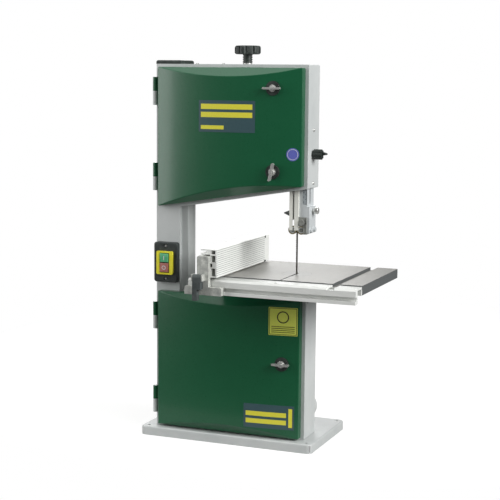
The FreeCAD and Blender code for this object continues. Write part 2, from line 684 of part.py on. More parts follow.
def hinges():
    frame_leaf = ("hinge_x", "hinge_x + 10", "frame_f - 3", "frame_f")
    door_leaf = ("hinge_x", "door_l", "hinge_y - 1", "hinge_y + 2")
    low = knuckles("upper", "-knuckle", "-run_gap", "pin_r", frame_leaf)
    low += knuckles("lower", "-knuckle", "-run_gap", "pin_r", frame_leaf)
    keep("frame_hinge_leaves", group(*low))
    pins = [rod("Z", "pin_r", f"{z} - knuckle", f"{z} + knuckle", "hinge_x", "hinge_y")
            for pair in HINGE_Z.values() for z in pair]
    keep("hinge_pins", group(*pins))
    for which in HINGE_Z:
        leaves = knuckles(which, "0", "knuckle", "pin_r + fit_gap", door_leaf)
        keep(which + "_door_hinge_leaves", group(*leaves))


def door_face(x):
    """Y of the bowed door front at x, from its chord and rise."""
    half = (size("door_r") - size("door_l")) / 2
    rise = size("door_bulge")
    radius = (half * half + rise * rise) / (2 * rise)
    off = x - (size("door_r") + size("door_l")) / 2
    return size("frame_f - door_side") - rise + radius - math.sqrt(radius ** 2 - off ** 2)


def lock_ring(x, z):
    face = door_face(size(x))
    return cut(rod("Y", "lock_r", f"{face} - 2.5", f"{face} + 4", x, z),
               rod("Y", "barrel_r + 0.08", f"{face} - 4", f"{face} + 5", x, z))


def lock_key(name, x, z, turn):
    """Quarter-turn key: barrel, winged handle in front and tongue behind the door skin."""
    face = door_face(size(x))
    front, back = face - 5.0, size("frame_f") + 8.5
    solid = Part.makeCylinder(size("barrel_r"), back - front, V(0, front, 0), V(0, 1, 0))
    wing = Part.makeBox(size("wing"), 9, 4.5, V(-size("wing") / 2, front - 9, -2.25))
    wing = wing.makeFillet(1.8, [e for e in wing.Edges if runs("Y")(e)])
    wing.rotate(V(0, 0, 0), V(0, 1, 0), -turn)
    tongue = Part.makeBox(14, 2.5, 30, V(-7, back - 2.5, -7))
    neck = Part.makeCylinder(5.5, 10, V(0, front - 6, 0), V(0, 1, 0))
    shape = solid.multiFuse([wing, tongue, neck]).removeSplitter()
    keep(name, shaped(name, shape, (x, "0", z)))


def locks():
    for name, (x, z, turn) in LOCKS.items():
        lock_key(name + "_lock_key", x, z, turn)
    keep("upper_lock_rings", group(*(lock_ring(*LOCKS[n][:2]) for n in ("upper_top", "upper_bottom"))))
    keep("lower_lock_ring", lock_ring(*LOCKS["lower"][:2]))


def drill_doors():
    """Opens each door skin for its lock rings."""
    for which in ("upper", "lower"):
        skin = nodes.pop(which + "_door_shell")
        holes = [rod("Y", "lock_r", "frame_f - door_side - door_bulge - 2", "frame_f - 0.5", x, z)
                 for n, (x, z, _) in LOCKS.items() if n.startswith(which)]
        skin.Label = which + "_door_shell"
        keep(which + "_door", cut(skin, *holes))


def doors():
    door("upper_door_shell", "upper_door_top", "upper_door_z0", "slope - 0.007")
    door("lower_door_shell", "lower_door_top", "lower_door_bot")
    drill_doors()
    hinges()
    locks()


# ---------------------------------------------------------------- switch

def switch():
    """Switch box with a framed window and two push buttons."""
    front = "frame_f - switch_t"
    half_w, half_h = "switch_w / 2", "switch_h / 2"
    box = block("switch_x - " + half_w, "switch_x + " + half_w, front, "frame_f",
                "switch_z - " + half_h, "switch_z + " + half_h)
    box = rounded(box, "6", runs("Y"))
    box = rounded(box, "2.5", at_level("Y", front))
    well = block("switch_x - 13", "switch_x + 13", front + " - 1", "frame_f - 2",
                 "switch_z - 23", "switch_z + 23")
    heads = [rod("Y", "4", front + " - 1", front + " + 3", "switch_x", f"switch_z + {s} * 36")
             for s in (-1, 1)]
    keep("switch_box", cut(box, well, *heads))
    bezel = block("switch_x - 19", "switch_x + 19", front + " - 6", front, "switch_z - 26", "switch_z + 25")
    bezel = rounded(bezel, "3", runs("Y"))
    window = block("switch_x - 11.5", "switch_x + 11.5", front + " - 8", front + " + 1",
                   "switch_z - 22", "switch_z + 21.5")
    keep("switch_bezel", cut(bezel, window))
    for name, low, high in (("start_button", "1", "20"), ("stop_button", "-20.5", "-1")):
        cap = block("switch_x - 10", "switch_x + 10", front + " - 8.5", front + " + 5",
                    "switch_z + " + low, "switch_z + " + high)
        keep(name, rounded(cap, "1.5", at_level("Y", front + " - 8.5")))


# ---------------------------------------------------------------- table and fence

def table():
    """Cast table with a skirt, a mitre slot, a blade slot, and a recess for the insert."""
    body = new_body("table_slab")
    pad(body, "Z", "table_z - skirt_h", "table_z",
        [rectangle("table_l", "table_r", "table_f", "table_b")])
    soften(body, "3", runs("Z"))
    inner = rectangle("table_l + skirt_t", "table_r - skirt_t", "table_f + skirt_t", "table_b - skirt_t")
    pocket(body, "Z", "table_z - skirt_h - 1", "table_z - plate_t", [inner])
    groove = block("mitre_x - mitre_w / 2 - 4", "mitre_x + mitre_w / 2 + 4", "table_f + skirt_t - 1",
                   "table_b - skirt_t + 1", "table_z - skirt_h + 4", "table_z - plate_t")
    keep("table_casting", cut(
        fuse(body, groove),
        block("mitre_x - mitre_w / 2", "mitre_x + mitre_w / 2", "table_f - 1", "table_b + 1",
              "table_z - mitre_t", "table_z + 1"),
        block("blade_x - kerf / 2", "blade_x + kerf / 2", "table_f - 1", "wheel_y",
              "table_z - 30", "table_z + 1"),
        rod("Z", "insert_r + 0.2", "table_z - insert_t", "table_z + 1", "blade_x", "wheel_y"),
        rod("Z", "insert_r - 6", "table_z - 12", "table_z + 1", "blade_x", "wheel_y")))
    keep("table_insert", cut(
        rod("Z", "insert_r", "table_z - insert_t", "table_z", "blade_x", "wheel_y"),
        block("blade_x - 2", "blade_x + 2", "wheel_y - insert_r - 1", "wheel_y + 11",
              "table_z - insert_t - 1", "table_z + 1"),
        block("blade_x", "blade_x + insert_t + 2", "wheel_y - insert_r - 1", "wheel_y + 11",
              "table_z - insert_t - 1", "table_z - 1")))


def lug(y0, y1):
    """Trunnion lug: a disc sector about the tilt axis with a curved slot for the lock bolt."""
    centre = V(size("blade_x"), size(y0), size("table_z"))
    outer, thick = size("lug_r"), size(y1) - size(y0)
    top = size("table_z - plate_t")

    def sector(radius, low, high):
        ends = [V(radius * math.cos(a), 0, radius * math.sin(a))
                for a in (math.radians(low), math.radians((low + high) / 2), math.radians(high))]
        wire = Part.Wire([Part.LineSegment(V(0, 0, 0), ends[0]).toShape(), Part.Arc(*ends).toShape(),
                          Part.LineSegment(ends[2], V(0, 0, 0)).toShape()])
        return Part.Face(wire).extrude(V(0, thick, 0)).translated(centre)

    ring_r, bolt = size("bolt_ring"), 4.6
    disc = sector(outer, -165, -15)
    slot = sector(ring_r + bolt, -97, -38).cut(sector(ring_r - bolt, -100, -35))
    above = Part.makeBox(200, thick + 2, 100, V(centre.x - 100, centre.y - 1, top))
    return disc.cut(slot).cut(above)


def trunnions():
    """The two segments under the table and the knob that locks their tilt."""
    pieces = [lug("-79.5", "-70"), lug("-31", "-21.5")]
    keep("trunnion_segments", shaped("trunnion_segments", Part.makeCompound(pieces)))
    bolt = fuse(rod("Y", "3.8", "-33", "-2", "blade_x", "table_z - bolt_ring"),
                rod("Y", "6.5", "-36", "-31.4", "blade_x", "table_z - bolt_ring"))
    grip = rod("Y", "17", "-4", "12", "blade_x", "table_z - bolt_ring")
    notches = [rod("Y", "4.5", "-5", "13", f"blade_x + 19 * cos({72 * k})",
                   f"table_z - bolt_ring + 19 * sin({72 * k})") for k in range(5)]
    keep("tilt_lock_knob", fuse(bolt, cut(grip, *notches)))


def front_rail():
    """Extruded rail: a flat top with a rebate along the table, a grooved front wall and a lower lip."""
    body = new_body("front_rail_bar")
    top, f, b = "table_z - 1.8", "rail_f", "table_f"
    low = "table_z - rail_h"
    outline = [(b + " - 1.8", top), (f + " + 4", top), (f, top + " - 4"), (f, "table_z - 18"),
               (f + " + 7", "table_z - 18"), (f + " + 7", "table_z - 26"), (f + " - 3", "table_z - 26"),
               (f + " - 3", low), (f + " + 14", low), (f + " + 14", top + " - 4"),
               (b + " - 5", top + " - 4"), (b + " - 5", "table_z - skirt_h"), (b, "table_z - skirt_h"),
               (b, top + " - 7"), (b + " - 1.8", top + " - 7")]
    pad(body, "X", "rail_l", "table_r - 0.5", [outline])
    keep("front_rail", cut(
        body,
        block("mitre_x - mitre_w / 2", "mitre_x + mitre_w / 2", "rail_f - 4", "table_f + 1",
              "table_z - mitre_t", "table_z + 1"),
        rod("Z", "5.5", "table_z - 12", "table_z + 1", "blade_x", "table_f - 30")))


def fence():
    """Rip fence: hollow extrusion with a top flange, a die-cast clamp and a cam lever."""
    body = new_body("fence_extrusion")
    left, right = "fence_r - fence_w", "fence_r"
    z0, z1 = "fence_z", "fence_top"
    outline = [(left, z0), (right, z0), (right, z1), ("fence_flange", z1),
               ("fence_flange", z1 + " - 3"), (left + " - 6", z1 + " - 3"), (left + " - 6", z1 + " - 8"),
               ("fence_flange", z1 + " - 8"), ("fence_flange", z1 + " - 11"), (left, z1 + " - 11"),
               (left, z0 + " + 29"), (left + " + 5", z0 + " + 29"), (left + " + 5", z0 + " + 21"),
               (left, z0 + " + 21")]
    cell = (left + " + 2.2", right + " - 2.8")
    cells = [rectangle(*cell, z0 + " + 2.5", z0 + " + 19"), rectangle(*cell, z0 + " + 31.5", z0 + " + 46"),
             rectangle(*cell, z0 + " + 48.5", z1 + " - 2.5")]
    pad(body, "Y", "fence_f", "fence_b", [outline] + cells)
    keep("fence_extrusion", body)

    front, face = "rail_f - 16", "rail_f - 3.4"
    upright = block("fence_flange - 5", left, front, face, "table_z - 33", "fence_top - 14")
    upright = rounded(upright, "4", both(runs("Y"), lambda e: e.Vertexes[0].Z > size("fence_top - 20")))
    foot = block("fence_flange - 33", "fence_flange + 50", front, face, "table_z - 33", "table_z - 16")
    foot = rounded(foot, "3", both(runs("Y"), lambda e: e.Vertexes[0].Z > size("table_z - 20")))
    heel = block("fence_flange - 5", left, face, "rail_f + 50", "fence_z - 2", "fence_top - 14")
    hub_y = "rail_f - 24.5"
    ears = [block(f"fence_flange + {x}", f"fence_flange + {x + 2.5}", front + " - 14", front,
                  "table_z - 3", "table_z + 11") for x in (-11.5, 10.2)]
    pin = rod("X", "2.5", "fence_flange - 11.5", "fence_flange + 12.7", hub_y, "table_z + 4")
    keep("fence_clamp", fuse(upright, foot, heel, *ears, pin))

    arm_top = "table_z + 4"
    lever = fuse(rod("X", "7.5", "fence_flange - 8.5", "fence_flange + 9.7", hub_y, arm_top),
                 block("fence_flange - 8.5", "fence_flange + 9.7", "rail_f - 32", "rail_f - 18",
                       "table_z - 20", arm_top),
                 block("fence_flange - 8.5", "fence_flange + 2", "rail_f - 32", "rail_f - 20",
                       "table_z - 43", "table_z - 20"))
    keep("fence_lever", cut(lever, rod("X", "pin_r + 0.06", "fence_flange - 20", "fence_flange + 20",
                                       hub_y, arm_top)))


# ---------------------------------------------------------------- rising guide

def rack_outline(y, z0, count, module):
    """Rack with straight flanks, teeth towards +Y, from z0 upwards."""
    pitch = math.pi * module
    points = [V(0, y - 6, z0), V(0, y - 1.2 * module, z0)]
    for i in range(count):
        z = z0 + (i + 0.5) * pitch
        for dz, dy in ((-0.92, -1.2), (-0.28, 0.85), (0.28, 0.85), (0.92, -1.2)):
            points.append(V(0, y + dy * module, z + dz * module))
    points += [V(0, y - 1.2 * module, z0 + count * pitch), V(0, y - 6, z0 + count * pitch)]
    return points


def pinion_outline(y, z, count, module):
    """Small gear about the X axis, with a tooth gap facing -Y."""
    radius = count * module / 2
    points = []
    for i in range(count):
        centre = math.pi + 2 * math.pi * (i + 0.5) / count
        for r, off in ((radius - 1.2 * module, -0.92), (radius + 0.75 * module, -0.3),
                       (radius + 0.75 * module, 0.3), (radius - 1.2 * module, 0.92)):
            a = centre + off * module / radius
            points.append(V(0, y + r * math.cos(a), z + r * math.sin(a)))
    return points


def prism(points, x0, x1):
    corners = [p + V(x0, 0, 0) for p in points + points[:1]]
    return Part.Face(Part.Wire(Part.makePolygon(corners))).extrude(V(x1 - x0, 0, 0))


def guide_post():
    """Folded channel with a rack inside; the pinion's shaft crosses its slotted right wall."""
    wall = 2.5
    body = new_body("guide_channel")
    pad(body, "Z", "post_z", "post_top",
        [[("post_l", "post_b"), ("post_l", "post_f"), ("post_r", "post_f"), ("post_r", "post_b"),
          (f"post_r - {wall}", "post_b"), (f"post_r - {wall}", f"post_f + {wall}"),
          (f"post_l + {wall}", f"post_f + {wall}"), (f"post_l + {wall}", "post_b")]])
    slot = block(f"post_r - {wall + 1}", "post_r + 1", "pinion_y - 4", "pinion_y + 4",
                 "pinion_z - 104", "pinion_z + 76")
    module, count = size("gear_m"), 36
    line = size("pinion_y - gear_m * gear_n / 2")
    start = size("pinion_z") - 11.5 * math.pi * module
    rack = prism(rack_outline(line, start, count, module), size("post_l") + wall + 0.5,
                 size("post_r") - wall - 0.5)
    back = Part.makeBox(size("post_r - post_l") - 2 * wall, line - 5 - size("post_f") - wall,
                        count * math.pi * module,
                        V(size("post_l") + wall, size("post_f") + wall, start))
    toothed = shaped("rack_bar", rack.fuse(back).removeSplitter())
    keep("guide_post", fuse(cut(body, slot), toothed))


def height_drive():
    """Pinion on its shaft, and the lobed knob outside the right wall."""
    y, z = "pinion_y", "pinion_z"
    gear = prism(pinion_outline(size(y), size(z), int(size("gear_n")), size("gear_m")),
                 size("post_l + 4"), size("post_r - 4.5"))
    gear = shaped("pinion_gear", gear)
    keep("height_pinion", fuse(gear, rod("X", "3", "post_l + 4", "frame_r + 4", y, z)))
    hub = rod("X", "9", "frame_r + 0.8", "frame_r + 21", y, z)
    ribs = [rod("X", "2.2", "frame_r + 3", "frame_r + 21", f"{y} + 8.6 * cos({45 * k})",
                f"{z} + 8.6 * sin({45 * k})") for k in range(8)]
    outline = [V(x, -5, z) for x, z in ((15, 6), (21, 6), (31, 2.5), (31, -0.5), (21, -2), (15, -2))]
    arm = Part.Face(Part.Wire(Part.makePolygon(outline + outline[:1]))).extrude(V(0, 10, 0))
    arm = shaped("height_arm", arm, ("frame_r", y, z))
    keep("height_knob", cut(fuse(hub, arm, *ribs),
                            rod("X", "3", "frame_r", "frame_r + 4", y, z)))


def blade_guard():
    """Channel in front of the blade, slotted from its lower end so that it ends in two prongs."""
    x0, x1, top, low = "blade_x - 9.2", "post_l", "post_top - 130", "guide_z + 2"
    face = block(x0, x1, "-74", "-72.4", low, top)
    slot = block("blade_x - 2.2", "blade_x + 1.8", "-76", "-70", low + " - 1", top + " - 12")
    left = block(x0, x0 + " + 1.6", "-72.4", "-60.5", "guide_z + 14", top)
    deep = block(x0, x0 + " + 1.6", "-60.5", "-46", "guide_z + 22", top + " - 60")
    right = block(x1 + " - 1.6", x1, "-72.4", "-60.5", "guide_z + 30", top)
    keep("blade_guard", fuse(cut(face, slot), left, deep, right))


def guide_head():
    """Bracket, casting and arm that carry the two side rollers and the thrust bearing."""
    keep("guide_bracket", fuse(
        block("post_r", "post_r + 5", "post_f", "post_b", "guide_z - 4", "guide_z + 52"),
        rod("X", "5", "post_r + 5", "post_r + 9", "-38", "guide_z + 2"),
        rod("X", "5", "post_r + 5", "post_r + 9", "-60", "guide_z + 2")))
    body = block("post_l", "post_r", "-73", "post_b", "guide_z - 6", "post_z")
    room = block("post_l - 1", "post_l + 11", "-74", "-42.5", "guide_z - 7", "guide_z + 11")
    slit = block("post_r - 3.2", "post_r - 1.8", "-74", "-58", "guide_z - 7", "post_z - 3")
    bolt = rod("Y", "6", "-77", "-73", "post_l + 7.5", "post_z - 11")
    arm = block("blade_x - 18", "post_l + 1", "-42.5", "-37", "guide_z - 7", "guide_z + 4.5")
    pins = [rod("Y", "2.9", "-52.5", "-42.5", f"blade_x + {s} * (roller_r + 0.55)", "guide_z")
            for s in (-1, 1)]
    caps = [rod("Y", "4", "-54", "-52.5", f"blade_x + {s} * (roller_r + 0.55)", "guide_z")
            for s in (-1, 1)]
    thrust = fuse(rod("X", "2.9", "blade_x - 4.5", "post_l", "wheel_y + 4.8 + roller_r", "guide_z + 16.5"),
                  rod("X", "4", "blade_x - 6", "blade_x - 4.5", "wheel_y + 4.8 + roller_r",
                      "guide_z + 16.5"))
    keep("guide_casting", fuse(cut(body, slit, room), bolt, arm, *pins, *caps, thrust))
    for side, name in ((-1, "left_guide_roller"), (1, "right_guide_roller")):
        x = f"blade_x + {side} * (roller_r + 0.55)"
        keep(name, cut(rod("Y", "roller_r", "-52.3", "-45", x, "guide_z"),
                       rod("Y", "2.9 + fit_gap", "-53", "-44", x, "guide_z")))
    y, z = "wheel_y + 4.8 + roller_r", "guide_z + 16.5"
    keep("thrust_bearing", cut(rod("X", "roller_r", "blade_x - 4.3", "blade_x + 3.5", y, z),
                               rod("X", "2.9 + fit_gap", "blade_x - 6", "blade_x + 6", y, z)))
    keep("guide_thumb_screw", fuse(
        rod("X", "3", "post_r + 5.3", "post_r + 9", "-48", "guide_z + 43"),
        rounded(rod("X", "7", "post_r + 9", "post_r + 18", "-48", "guide_z + 43"), "1.5",
                lambda e: isinstance(e.Curve, Part.Circle))))
    keep("guard_knob", fuse(
        cone("X", "1.2", "6.2", "blade_x - 24.5", "blade_x - 12", "-64", "guide_z + 37"),
        rod("X", "3", "blade_x - 12.2", "blade_x - 9.5", "-64", "guide_z + 37")))


# ---------------------------------------------------------------- build, test and write

for make in (base_plate, column, upper_cabinet, lower_cabinet, frame_fittings, motor,
             blade_and_belt, wheels, tension, doors, switch, table, trunnions, front_rail,
             fence, guide_post, height_drive, blade_guard, guide_head):
    make()
doc.recompute()

for obj in doc.Objects:
    if {"Invalid", "Error"} & set(obj.State):
        raise RuntimeError(f"{obj.Name} failed: {obj.State}")
os.makedirs("parts", exist_ok=True)
for label, obj in nodes.items():
    if obj.Shape.isNull() or not obj.Shape.isValid() or not obj.Shape.Solids:
        raise RuntimeError(f"{label} has no valid shape")
    obj.Shape.exportStep(f"parts/{label}.step")
    print(f"{label}: {len(obj.Shape.Solids)} solid(s), {obj.Shape.Volume / 1000:.1f} cm3")
print(len(nodes), "nodes")
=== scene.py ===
"""Looks of the bench band saw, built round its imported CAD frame.

Metres; +X to the operator's right, +Y to the back, +Z up. The doors face -Y.
"""

import json
import math

import bmesh
import bpy
from mathutils import Matrix, Vector


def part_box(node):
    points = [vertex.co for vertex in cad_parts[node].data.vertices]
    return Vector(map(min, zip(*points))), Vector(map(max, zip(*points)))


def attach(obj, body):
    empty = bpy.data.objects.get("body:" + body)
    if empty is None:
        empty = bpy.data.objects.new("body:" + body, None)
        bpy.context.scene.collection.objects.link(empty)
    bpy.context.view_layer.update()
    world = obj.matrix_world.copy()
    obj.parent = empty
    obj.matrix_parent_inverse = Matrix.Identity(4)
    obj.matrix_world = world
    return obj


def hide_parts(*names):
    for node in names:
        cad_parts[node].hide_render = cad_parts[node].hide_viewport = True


MM = 0.001

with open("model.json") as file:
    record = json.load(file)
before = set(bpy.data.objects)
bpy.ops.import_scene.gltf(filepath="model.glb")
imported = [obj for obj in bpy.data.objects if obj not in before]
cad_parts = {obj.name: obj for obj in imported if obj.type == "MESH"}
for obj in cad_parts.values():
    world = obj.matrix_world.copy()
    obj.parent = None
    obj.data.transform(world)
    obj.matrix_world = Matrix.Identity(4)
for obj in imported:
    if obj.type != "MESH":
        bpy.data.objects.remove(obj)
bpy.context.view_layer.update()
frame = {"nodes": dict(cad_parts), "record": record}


# ---------------------------------------------------------------- camera, floor and light

EYE = Vector((1.0948, -2.6701, 0.7943))         # metres
YAW, PITCH, ROLL = 22.074, -7.581, 0.498        # degrees
LENS, SENSOR = 95.08, 36.0                      # millimetres

FLOOR_RADIUS = 1.1
FLOOR_BACK = 0.75
FLOOR_GLOW = 0.62
SURROUND_LIGHT = 0.10


def add_camera():
    data = bpy.data.cameras.new("camera")
    data.lens, data.sensor_width = LENS, SENSOR
    camera = bpy.data.objects.new("camera", data)
    bpy.context.scene.collection.objects.link(camera)
    turn = (Matrix.Rotation(math.radians(YAW), 4, "Z")
            @ Matrix.Rotation(math.radians(90 + PITCH), 4, "X")
            @ Matrix.Rotation(math.radians(ROLL), 4, "Z"))
    camera.matrix_world = Matrix.Translation(EYE) @ turn
    bpy.context.scene.camera = camera


def add_light(name, origin, target, width, height, power):
    data = bpy.data.lights.new(name, "AREA")
    data.shape = "RECTANGLE"
    data.size, data.size_y, data.energy = width, height, power
    light = bpy.data.objects.new(name, data)
    light.location = origin
    light.rotation_euler = (Vector(target) - Vector(origin)).to_track_quat("-Z", "Y").to_euler()
    bpy.context.scene.collection.objects.link(light)


def add_studio():
    """Pale round floor that glows for itself alone, a white surround and five soft lights."""
    mesh = bmesh.new()
    bmesh.ops.create_circle(mesh, cap_ends=True, segments=96, radius=FLOOR_RADIUS)
    floor = new_piece("studio_floor", mesh)
    floor.location.y = FLOOR_BACK
    paint(floor, floor_finish())
    own_glow = bpy.data.collections.new("floor_glow")
    own_glow.objects.link(floor)
    floor.light_linking.receiver_collection = own_glow

    world = bpy.data.worlds.new("surround")
    bpy.context.scene.world = world
    world.use_nodes = True
    tree = world.node_tree
    seen = tree.nodes["Background"]
    seen.inputs["Color"].default_value = (1, 1, 1, 1)
    unseen = tree.nodes.new("ShaderNodeBackground")
    unseen.inputs["Color"].default_value = (*[SURROUND_LIGHT] * 3, 1)
    mix = tree.nodes.new("ShaderNodeMixShader")
    rays = tree.nodes.new("ShaderNodeLightPath")
    tree.links.new(rays.outputs["Is Camera Ray"], mix.inputs[0])
    tree.links.new(unseen.outputs[0], mix.inputs[1])
    tree.links.new(seen.outputs[0], mix.inputs[2])
    tree.links.new(mix.outputs[0], tree.nodes["World Output"].inputs["Surface"])

    middle = (0, -0.05, 0.4)
    add_light("key_right", (2.4, -0.5, 1.7), (0.1, -0.05, 0.6), 1.5, 1.5, 74)
    add_light("top", (-0.3, -0.3, 2.6), middle, 2.2, 2.2, 24)
    add_light("left_front", (-2.3, -1.5, 1.2), (0, -0.1, 0.75), 1.5, 2.4, 48)
    add_light("right_front", (1.9, -1.6, 1.6), (0.1, -0.05, 0.6), 1.2, 1.2, 12)
    add_light("back", (-1.2, 2.2, 1.5), middle, 1.6, 1.6, 24)
    bpy.context.scene.view_settings.view_transform = "Standard"


# ---------------------------------------------------------------- node helpers

def rgb(red, green, blue):
    """Linear colour of an 8-bit screen colour."""
    def linear(value):
        share = value / 255
        return share / 12.92 if share <= 0.04045 else ((share + 0.055) / 1.055) ** 2.4
    return (linear(red), linear(green), linear(blue), 1)


def add(tree, kind, inputs=(), **settings):
    """Adds a node; an input that is a socket is linked, any other is set."""
    node = tree.nodes.new(kind)
    for key, value in settings.items():
        setattr(node, key, value)
    for key, value in dict(inputs).items():
        if isinstance(value, bpy.types.NodeSocket):
            tree.links.new(value, node.inputs[key])
        else:
            node.inputs[key].default_value = value
    return node


def place(tree, stretch=(1, 1, 1)):
    """Object coordinates, stretched along each axis."""
    where = add(tree, "ShaderNodeTexCoord").outputs["Object"]
    return add(tree, "ShaderNodeMapping", {"Vector": where, "Scale": stretch}).outputs[0]


def noise(tree, size, detail=2.0, stretch=(1, 1, 1), rough=0.55):
    """Cloudy noise with lumps about `size` metres across."""
    node = add(tree, "ShaderNodeTexNoise", {"Vector": place(tree, stretch), "Scale": 1 / size,
                                            "Detail": detail, "Roughness": rough})
    return node.outputs["Fac"]


def cells(tree, size):
    """Distance to the nearest of scattered points about `size` metres apart."""
    node = add(tree, "ShaderNodeTexVoronoi", {"Vector": place(tree), "Scale": 1 / size})
    return node.outputs["Distance"]


def remap(tree, value, low, high, to_low, to_high):
    node = add(tree, "ShaderNodeMapRange", {"Value": value, "From Min": low, "From Max": high,
                                            "To Min": to_low, "To Max": to_high})
    return node.outputs[0]


def blend(tree, factor, first, second):
    node = add(tree, "ShaderNodeMix", {0: factor, 6: first, 7: second}, data_type="RGBA")
    return node.outputs[2]


def relief(tree, height, depth, under=None):
    """Surface relief `depth` metres deep, on top of another normal."""
    inputs = {"Height": height, "Distance": depth, "Strength": 1.0}
    if under:
        inputs["Normal"] = under
    return add(tree, "ShaderNodeBump", inputs).outputs[0]


def soft_edges(tree, radius):
    return add(tree, "ShaderNodeBevel", {"Radius": radius}, samples=4).outputs[0]


def edge_highlight_and_wear(tree, radius):
    """1 along sharp edges and 0 on open faces; the finishes use it to paint edges paler, mostly a
    painted highlight with a little rubbing wear.
    """
    rounded = soft_edges(tree, radius)
    flat = add(tree, "ShaderNodeNewGeometry").outputs["Normal"]
    facing = add(tree, "ShaderNodeVectorMath", {0: rounded, 1: flat}, operation="DOT_PRODUCT")
    return remap(tree, facing.outputs["Value"], 0.98, 0.80, 0.0, 1.0)


def new_finish(name, **sockets):
    """A material, its node tree and its shader, with the uniform values set on the shader."""
    material = bpy.data.materials.new(name)
    material.use_nodes = True
    shader = material.node_tree.nodes["Principled BSDF"]
    for key, value in sockets.items():
        shader.inputs[key.replace("_", " ")].default_value = value
    return material, material.node_tree, shader


def wire(tree, shader, colour=None, roughness=None, normal=None):
    for key, value in (("Base Color", colour), ("Roughness", roughness), ("Normal", normal)):
        if value is not None:
            tree.links.new(value, shader.inputs[key])


# ---------------------------------------------------------------- finishes

def floor_finish():
    material, tree, shader = new_finish("studio_floor")
    tone = blend(tree, noise(tree, 0.3), rgb(176, 176, 175), rgb(182, 182, 181))
    wire(tree, shader, tone, remap(tree, noise(tree, 0.05), 0, 1, 0.8, 0.9))
    shader.inputs["Emission Color"].default_value = (1, 1, 1, 1)
    shader.inputs["Emission Strength"].default_value = FLOOR_GLOW
    return material


def hammered_paint(name, dark, light):
    """Glossy stoved paint with a fine orange-peel surface."""
    material, tree, shader = new_finish(name, Coat_Weight=0.35, Coat_Roughness=0.12, IOR=1.5)
    mottle = noise(tree, 1.6 * MM, 3)
    wide = noise(tree, 45 * MM, 2)
    tone = blend(tree, remap(tree, mottle, 0.3, 0.7, 0.15, 0.75), dark, light)
    tone = blend(tree, remap(tree, wide, 0.3, 0.7, 0, 0.25), tone, dark)
    # painted highlight along the edges, blended towards the light tone, with a little rubbing wear
    edge_lit_and_scuffed = blend(tree, remap(tree, edge_highlight_and_wear(tree, 0.7 * MM), 0, 1, 0, 0.45), tone, light)
    lumps = relief(tree, mottle, 0.01 * MM, soft_edges(tree, 0.8 * MM))
    waves = relief(tree, noise(tree, 14 * MM, 1), 0.05 * MM, lumps)
    wire(tree, shader, edge_lit_and_scuffed, remap(tree, mottle, 0.3, 0.7, 0.27, 0.35), waves)
    return material


def powder_coat(name, dark, light, dust=0.1):
    """Satin powder coat: fine peel, slight tone drift and paler edges, mostly a painted highlight with a
    little rubbing wear.
    """
    material, tree, shader = new_finish(name, Coat_Weight=0.12, Coat_Roughness=0.3)
    fine = noise(tree, 1.6 * MM, 2)
    wide = noise(tree, 90 * MM, 3)
    tone = blend(tree, remap(tree, wide, 0.3, 0.7, 0, 1), dark, light)
    tone = blend(tree, remap(tree, fine, 0.35, 0.65, 0, dust), tone, dark)
    # painted highlight along the edges, blended towards the light tone, with a little rubbing wear
    tone = blend(tree, remap(tree, edge_highlight_and_wear(tree, 0.6 * MM), 0, 1, 0, 0.4), tone, light)
    peel = relief(tree, fine, 0.025 * MM, soft_edges(tree, 0.9 * MM))
    wire(tree, shader, tone, remap(tree, noise(tree, 8 * MM, 2), 0.3, 0.7, 0.34, 0.46), peel)
    return material


def moulded_plastic(name, dark, light, rough=(0.36, 0.5), depth=0.03 * MM):
    """Moulded plastic with an even spark-eroded grain."""
    material, tree, shader = new_finish(name, IOR=1.48)
    spots = cells(tree, 0.7 * MM)
    cloud = noise(tree, 12 * MM, 3)
    tone = blend(tree, remap(tree, cloud, 0.3, 0.7, 0, 1), dark, light)
    # painted highlight along the edges, blended towards the light tone, with a little rubbing wear
    tone = blend(tree, remap(tree, edge_highlight_and_wear(tree, 0.5 * MM), 0, 1, 0, 0.6), tone, light)
    skin = relief(tree, spots, depth, soft_edges(tree, 0.6 * MM))
    wire(tree, shader, tone, remap(tree, cloud, 0.3, 0.7, *rough), skin)
    return material


def facing_up(tree):
    """1 on faces that look up, 0 on the others."""
    normal = add(tree, "ShaderNodeTexCoord").outputs["Normal"]
    height = add(tree, "ShaderNodeSeparateXYZ", {0: normal}).outputs["Z"]
    return remap(tree, height, 0.6, 0.9, 0, 1)


def machined_metal(name, dark, light, grain, rough=(0.24, 0.4), depth=0.012 * MM, metallic=1.0,
                   top=None):
    """Metal with fine tool marks along the axis where `grain` is low; `top`, if given, is a darker tone
    painted on the upper faces as shade.
    """
    material, tree, shader = new_finish(name, Metallic=metallic)
    lines = noise(tree, 1 * MM, 4, grain, 0.7)
    cloud = noise(tree, 30 * MM, 3)
    tone = blend(tree, remap(tree, lines, 0.3, 0.7, 0, 1), dark, light)
    tone = blend(tree, remap(tree, cloud, 0.35, 0.7, 0, 0.4), tone, dark)
    if top:
        # painted shade: upper faces are blended towards the darker `top` tone
        shaded_top = blend(tree, remap(tree, lines, 0.3, 0.7, 0, 0.5), top, dark)
        tone = blend(tree, facing_up(tree), tone, shaded_top)
    marks = relief(tree, lines, depth, soft_edges(tree, 0.35 * MM))
    wire(tree, shader, tone, remap(tree, lines, 0.25, 0.75, *rough), marks)
    return material


def cast_metal(name, dark, light, lump=1.6 * MM, metallic=0.85):
    """As-cast skin: granular, mottled and duller than a machined face."""
    material, tree, shader = new_finish(name, Metallic=metallic)
    grit = noise(tree, lump, 4)
    cloud = noise(tree, 11 * MM, 4)
    tone = blend(tree, remap(tree, cloud, 0.3, 0.7, 0, 1), dark, light)
    tone = blend(tree, remap(tree, grit, 0.4, 0.7, 0, 0.5), tone, dark)
    skin = relief(tree, grit, 0.12 * MM, soft_edges(tree, 0.8 * MM))
    wire(tree, shader, tone, remap(tree, grit, 0.3, 0.7, 0.38, 0.6), skin)
    return material


